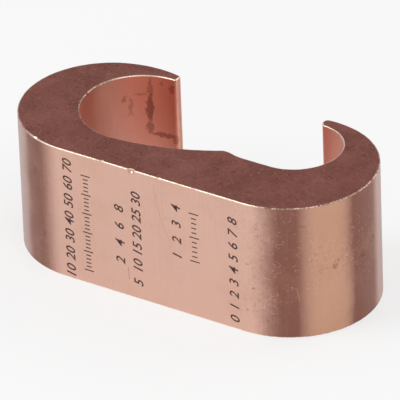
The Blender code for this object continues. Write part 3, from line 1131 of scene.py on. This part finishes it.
        # Painted sheen: pale grey-pink strips that stand for reflected light near the silhouette of each end.
        painted_sheen_bands = (
            Band(rod_at(180) - 2.0, rod_at(192), rod_at(229), rod_at(243), 0.85),
            band(tap_at, 369, 382, 400, 425, 0.90),
        )
        dings = (
            *patches(
                tap_at,
                (276, 5.4, 3.6, 4.4, 1.0), (276, 14.5, 3.2, 4.0, 0.8),
                (300, 11.0, 5.5, 8.0, 0.8), (330, 11.0, 3.2, 3.0, 0.7),
                (355, 11.0, 3.6, 5.5, 0.85), (380, 13.0, 1.6, 6.0, 0.8),
            ),
            *patches(
                rod_at,
                (250, 13.0, 1.6, 3.0, 0.5), (252, 4.0, 1.4, 2.2, 0.4),
            ),
        )
        gouges = (
            *patches(
                tap_at,
                (310, 16.3, 0.55, 0.16, 0.30), (331, 9.6, 0.30, 0.55, 0.40),
                (334, 10.5, 0.22, 0.30, 0.40), (354, 9.3, 0.70, 0.30, 0.45),
                (366, 10.6, 0.60, 0.60, 0.45), (272, 3.4, 0.22, 0.18, 0.40),
                (274, 10.4, 0.20, 0.16, 0.40), (277, 6.9, 0.26, 0.20, 0.35),
            ),
            *patches(
                rod_at,
                (248, 14.0, 0.50, 0.70, 0.25), (254, 5.2, 0.40, 0.50, 0.20),
            ),
        )
        hairlines = (
            Hairline(web + 14.2, 18.0, web + 16.9, 9.4, 0.5, 0.05, 0.30),
            Hairline(web + 9.9, 4.3, web + 10.0, 2.5, 0.0, 0.06, 0.60),
            Hairline(web + 11.8, 15.0, web + 12.9, 13.2, -0.2, 0.05, 0.25),
        )
        skin = DrawnCopper(
            name="drawn_skin",
            clean=srgb(227, 184, 167),
            dull_and_shade=srgb(141, 95, 83),
            stain=srgb(112, 66, 52),
            scratch=srgb(246, 206, 182),
            roughness=0.36,
            painted_shade_bands=painted_shade_bands,
            # Painted reflection: an ochre tint on the paler band between the dark bands at the tap end.
            painted_ochre_reflection_bands=(band(tap_at, 305, 322, 334, 348, 0.55),),
            painted_sheen_bands=painted_sheen_bands,
            patches=gouges,
            dings=dings,
            hairlines=hairlines,
        )
        # Painted shade: darker bands on the rod groove's left wall and crown, and on the crown by the rod
        # tip.
        floor_end = section.run_at(outline, on_circle(section.rod_floor, s.rod_floor, 215.0))
        left = Band(floor_end, crown_at(180) + 1.0, crown_at(172), crown_at(128), 0.85)
        tip_start = crown_at(80)
        tip = Band(tip_start, tip_start + 0.8, outline[-1].run + 1.0, outline[-1].run + 2.0, 0.7)
        stains = (
            *patches(
                crown_at,
                (114, 14.1, 0.50, 2.1, 0.60), (113, 17.2, 0.42, 1.4, 0.36),
                (114, 11.2, 0.55, 0.9, 0.45), (101, 10.3, 1.60, 0.42, 0.50),
                (88, 9.9, 0.60, 0.6, 0.35), (133, 14.4, 0.28, 1.4, 0.30),
                (139, 15.7, 0.40, 0.4, 0.35), (124, 16.1, 1.00, 0.2, 0.25),
                (101, 18.0, 0.40, 0.3, 0.35), (90, 17.5, 0.40, 0.7, 0.40),
                (100, 13.4, 1.80, 4.4, 0.06),
            ),
        )
        groove = DrawnCopper(
            name="groove_wall",
            clean=srgb(226, 164, 146),
            dull_and_shade=srgb(178, 116, 100),
            stain=srgb(96, 50, 36),
            scratch=srgb(240, 200, 184),
            roughness=0.42,
            painted_shade_bands=(left, tip),
            patches=stains,
            scratching=0.4,
        )
        cut = SawnCopper(
            name="cut_face",
            clean=srgb(172, 110, 99),
            dark=srgb(140, 82, 71),
            pit=srgb(84, 46, 38),
            scratch=srgb(236, 190, 176),
            roughness=0.46,
        )
        rim = BrokenEdge(
            name="broken_edge",
            # Painted highlight: this colour is paler than the skin's copper and paints part of the key lamp's
            # highlight line along the rubbed edge.
            rubbed_and_highlight=srgb(255, 228, 208),
            dull_and_shade=srgb(150, 98, 86),
            roughness=0.30,
            # Painted shade: the edge's highlight line dimmed across the tap end, at the rod end and along the
            # rod groove's crown.
            painted_shade_bands=(
                band(tap_at, 276, 288, 420, 440, 0.85),
                Band(0.0, 1.0, rod_at(236), rod_at(250), 0.75),
                Band(crown_at(100) - 40.0, crown_at(100) - 36.0, crown_at(165), crown_at(140), 0.8),
            ),
        )
        return [finish.make() for finish in (skin, groove, cut, rim)]


@dataclass(frozen=True)
class Ink:
    """Thin dark print, a little worn so that the copper shows through."""

    name: str = "print_ink"
    colour: Colour = srgb(74, 42, 36)
    worn: Colour = srgb(126, 84, 72)
    roughness: float = 0.55

    def make(self) -> Material:
        """Builds the material."""
        material, graph, shader = new_material(self.name)
        spot = graph.scaled(graph.object_place(), 1.0 / MM)
        wear = graph.noise(spot, 2.2, 5.0, 0.7, 21.0).ramp(0.48, 0.68)
        grain = graph.noise(spot, 12.0, 3.0, 0.6, 22.0)
        colour = graph.mix(wear * 0.6 + (grain - 0.5) * 0.3, self.colour, self.worn)
        graph.feed(shader, {"Base Color": colour, "Roughness": self.roughness + (grain - 0.5) * 0.2})
        return material


@dataclass(frozen=True)
class NumberRow:
    """Plain numbers printed up the web: place is along the web, start and end are heights, millimetres."""

    place: float
    start: float
    end: float
    values: tuple[str, ...]


@dataclass(frozen=True)
class TickRow:
    """A row of ticks printed up the web, millimetres, with every fifth one long."""

    place: float
    start: float
    end: float
    count: int


class TickTree(PieceTree):
    """Geometry Nodes that lay a row of ticks along X, centred on the origin."""

    NAME = "tick_row"
    INPUTS = (
        ("Count", "NodeSocketInt", 10),
        ("Row Length", "NodeSocketFloat", 10.0 * MM),
        ("Tick Width", "NodeSocketFloat", 0.16 * MM),
        ("Tick Height", "NodeSocketFloat", 0.75 * MM),
        ("Long Share", "NodeSocketFloat", 1.9),
        ("Long Every", "NodeSocketInt", 5),
    )

    def grow(self, graph: Graph, given: Node) -> Signal:
        """Adds the row's nodes and returns its geometry."""
        count = graph.out(given, "Count")
        length = graph.out(given, "Row Length")
        step = length / (count - 1.0)
        row = graph.node(
            "GeometryNodeMeshLine",
            {"mode": "OFFSET"},
            {"Count": count, "Start Location": graph.vector(length * -0.5), "Offset": graph.vector(step)},
        )
        width, height = graph.out(given, "Tick Width"), graph.out(given, "Tick Height")
        tick = graph.node("GeometryNodeMeshGrid", None, {0: width, 1: height, 2: 2, 3: 2})
        index = graph.made("GeometryNodeInputIndex")
        is_long = index.modulo(graph.out(given, "Long Every")).below(0.5)
        stretch = (graph.out(given, "Long Share") - 1.0) * is_long + 1.0
        spread = graph.node(
            "GeometryNodeInstanceOnPoints",
            None,
            {"Points": graph.out(row), "Instance": graph.out(tick), "Scale": graph.vector(1.0, stretch, 1.0)},
        )
        return graph.out(spread)


@dataclass
class WebPrint:
    """Plain numbers and ticks on the web: a film that lies just proud of the copper."""

    section: Section
    letter_size: float = 1.95
    slant: float = 0.22
    boldness: float = 0.022
    lift: float = 0.007
    ink: Ink = field(default_factory=Ink)
    numbers: tuple[NumberRow, ...] = (
        NumberRow(1.1, 1.1, 16.7, ("10", "20", "30", "40", "50", "60", "70")),
        NumberRow(8.85, 5.0, 12.6, ("2", "4", "6", "8")),
        NumberRow(11.5, 2.4, 14.8, ("5", "10", "15", "20", "25", "30")),
        NumberRow(17.6, 8.2, 15.2, ("1", "2", "3", "4")),
        NumberRow(26.1, 1.4, 15.8, ("0", "1", "2", "3", "4", "5", "6", "7", "8")),
    )
    ticks: tuple[TickRow, ...] = (TickRow(3.8, 2.0, 16.0, 26), TickRow(20.2, 8.2, 15.2, 11))

    def on_web(self, place: float, height: float) -> Matrix:
        """Turns a flat mesh so that it reads up the web at a place."""
        spot = self.section.in_frame(Vector((place, self.section.sizes.film_room - self.lift)), height)
        turn = Matrix(((0.0, -1.0, 0.0), (0.0, 0.0, -1.0), (1.0, 0.0, 0.0)))
        return Matrix.Translation(spot) @ turn.to_4x4()

    def letters(self, text: str) -> Mesh:
        """A number as a flat mesh, centred on the origin."""
        curve = bpy.data.curves.new("number", "FONT")
        curve.body = text
        curve.size = self.letter_size * MM
        curve.shear = self.slant
        curve.offset = self.boldness * MM
        curve.align_x = "CENTER"
        curve.align_y = "CENTER"
        curve.resolution_u = 4
        guide = new_object("number", curve)
        bpy.context.view_layer.update()
        made = bpy.data.meshes.new_from_object(guide.evaluated_get(bpy.context.evaluated_depsgraph_get()))
        bpy.data.objects.remove(guide, do_unlink=True)
        return made

    def build(self) -> Object:
        """Builds the film."""
        ink = self.ink.make()
        tree = TickTree()
        flats: list[Mesh] = []
        for row in self.numbers:
            for number, value in enumerate(row.values):
                height = row.start + (row.end - row.start) * number / (len(row.values) - 1)
                flat = self.letters(value)
                flat.transform(self.on_web(row.place, height))
                flats.append(flat)
        for row in self.ticks:
            guide = new_object("ticks", bpy.data.meshes.new("ticks"))
            values = {"Count": row.count, "Row Length": (row.end - row.start) * MM, "Material": ink}
            flat = tree.run(guide, values)
            flat.transform(self.on_web(row.place, (row.start + row.end) / 2))
            flats.append(flat)
        work = bmesh.new()
        for flat in flats:
            work.from_mesh(flat)
        for face in work.faces:
            face.material_index = 0
            if face.normal.y > 0:
                face.normal_flip()
        mesh = bpy.data.meshes.new("web_print")
        work.to_mesh(mesh)
        work.free()
        mesh.materials.append(ink)
        film = new_object("web_print", mesh)
        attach(film, BODY)
        log.info("%s: %d faces", film.name, len(mesh.polygons))
        return film


@dataclass(frozen=True)
class SoftLamp:
    """A square soft light.

    heading is its bearing round the object and rise its elevation, in degrees; distance and size
    are in metres, and level is the brightness of its face, where white paper in full view is 1.
    """

    name: str
    heading: float
    rise: float
    distance: float
    size: float
    level: float

    def place(self, target: Vector) -> None:
        """Adds the lamp, aimed at target."""
        data = bpy.data.lights.new(self.name, "AREA")
        data.shape = "SQUARE"
        data.size = self.size
        data.energy = self.level * math.pi * self.size ** 2
        lamp = bpy.data.objects.new(self.name, data)
        away = towards(math.radians(self.heading), math.radians(self.rise))
        lamp.location = target + away * self.distance
        lamp.rotation_euler = away.to_track_quat("Z", "Y").to_euler()
        lamp.visible_camera = False
        bpy.context.scene.collection.objects.link(lamp)


@dataclass(frozen=True)
class Studio:
    """Plain floor, soft lamps, pale world and the camera at the photo's angle."""

    azimuth: float = 33.92
    elevation: float = 30.5
    roll: float = -2.124
    lens: float = 647.34
    distance: float = 904.5 * MM
    aim: tuple[float, float, float] = (9.255 * MM, -13.811 * MM, 19.0 * MM)
    floor_size: float = 6.0
    floor_colour: Colour = (0.94, 0.94, 0.94, 1.0)
    floor_glow: float = 0.62
    world_level: float = 0.54
    lamps: tuple[SoftLamp, ...] = (
        SoftLamp("key_lamp", -43.0, 46.0, 0.50, 0.26, 3.6),
        SoftLamp("fill_lamp", 63.0, 57.0, 0.60, 0.30, 2.0),
        SoftLamp("back_lamp", 150.0, 34.0, 0.60, 0.36, 1.1),
    )

    def add_camera(self) -> None:
        """Adds the camera."""
        angle, lift, roll = (math.radians(v) for v in (self.azimuth, self.elevation, self.roll))
        back = towards(angle, lift)
        level = Vector((math.cos(angle), math.sin(angle), 0.0))
        upright = back.cross(level)
        right = math.cos(roll) * level + math.sin(roll) * upright
        above = -math.sin(roll) * level + math.cos(roll) * upright
        data = bpy.data.cameras.new("camera")
        data.lens = self.lens
        data.sensor_width = SENSOR_WIDTH
        data.clip_start, data.clip_end = CLIP_RANGE
        camera = bpy.data.objects.new("camera", data)
        turn = Matrix((right, above, back)).transposed().to_4x4()
        camera.matrix_world = Matrix.Translation(Vector(self.aim) + back * self.distance) @ turn
        bpy.context.scene.collection.objects.link(camera)
        bpy.context.scene.camera = camera

    def add_floor(self) -> None:
        """Adds the floor."""
        mesh = bpy.data.meshes.new("floor")
        work = bmesh.new()
        bmesh.ops.create_grid(work, x_segments=1, y_segments=1, size=self.floor_size / 2)
        work.to_mesh(mesh)
        work.free()
        floor = new_object("floor", mesh)
        material = bpy.data.materials.new("floor_paper")
        material.use_nodes = True
        graph = Graph(material.node_tree)
        rays = graph.node("ShaderNodeLightPath")
        seen = graph.out(rays, "Is Camera Ray").most(graph.out(rays, "Is Glossy Ray"))
        paper = graph.node("ShaderNodeBsdfDiffuse", None, {"Color": self.floor_colour})
        white = graph.node("ShaderNodeEmission", None, {"Color": WHITE, "Strength": 1.0})
        values = {0: seen * self.floor_glow, 1: graph.out(paper), 2: graph.out(white)}
        mixed = graph.node("ShaderNodeMixShader", None, values)
        graph.node("ShaderNodeOutputMaterial", None, {"Surface": graph.out(mixed)})
        mesh.materials.append(material)

    def add_world(self) -> None:
        """Pale world: white to the camera, softer as light."""
        world = bpy.data.worlds.new("studio")
        world.use_nodes = True
        bpy.context.scene.world = world
        graph = Graph(world.node_tree)
        rays = graph.node("ShaderNodeLightPath")
        seen = graph.out(rays, "Is Camera Ray")
        strength = self.world_level + seen * (1.0 - self.world_level)
        lit = graph.node("ShaderNodeBackground", None, {"Color": WHITE, "Strength": strength})
        graph.node("ShaderNodeOutputWorld", None, {"Surface": graph.out(lit)})

    def build(self) -> None:
        """Builds the studio."""
        self.add_camera()
        self.add_floor()
        self.add_world()
        for lamp in self.lamps:
            lamp.place(LAMP_TARGET)
        bpy.context.scene.view_settings.view_transform = "Standard"
        log.info("studio: %d lamps", len(self.lamps))


def main() -> None:
    """Builds the studio, the bar and the print on its web."""
    Studio().build()
    bar = ConnectorBar()
    bar.build()
    WebPrint(Section(bar.sizes, bar.marks)).build()


if __name__ == "__main__":
    main()
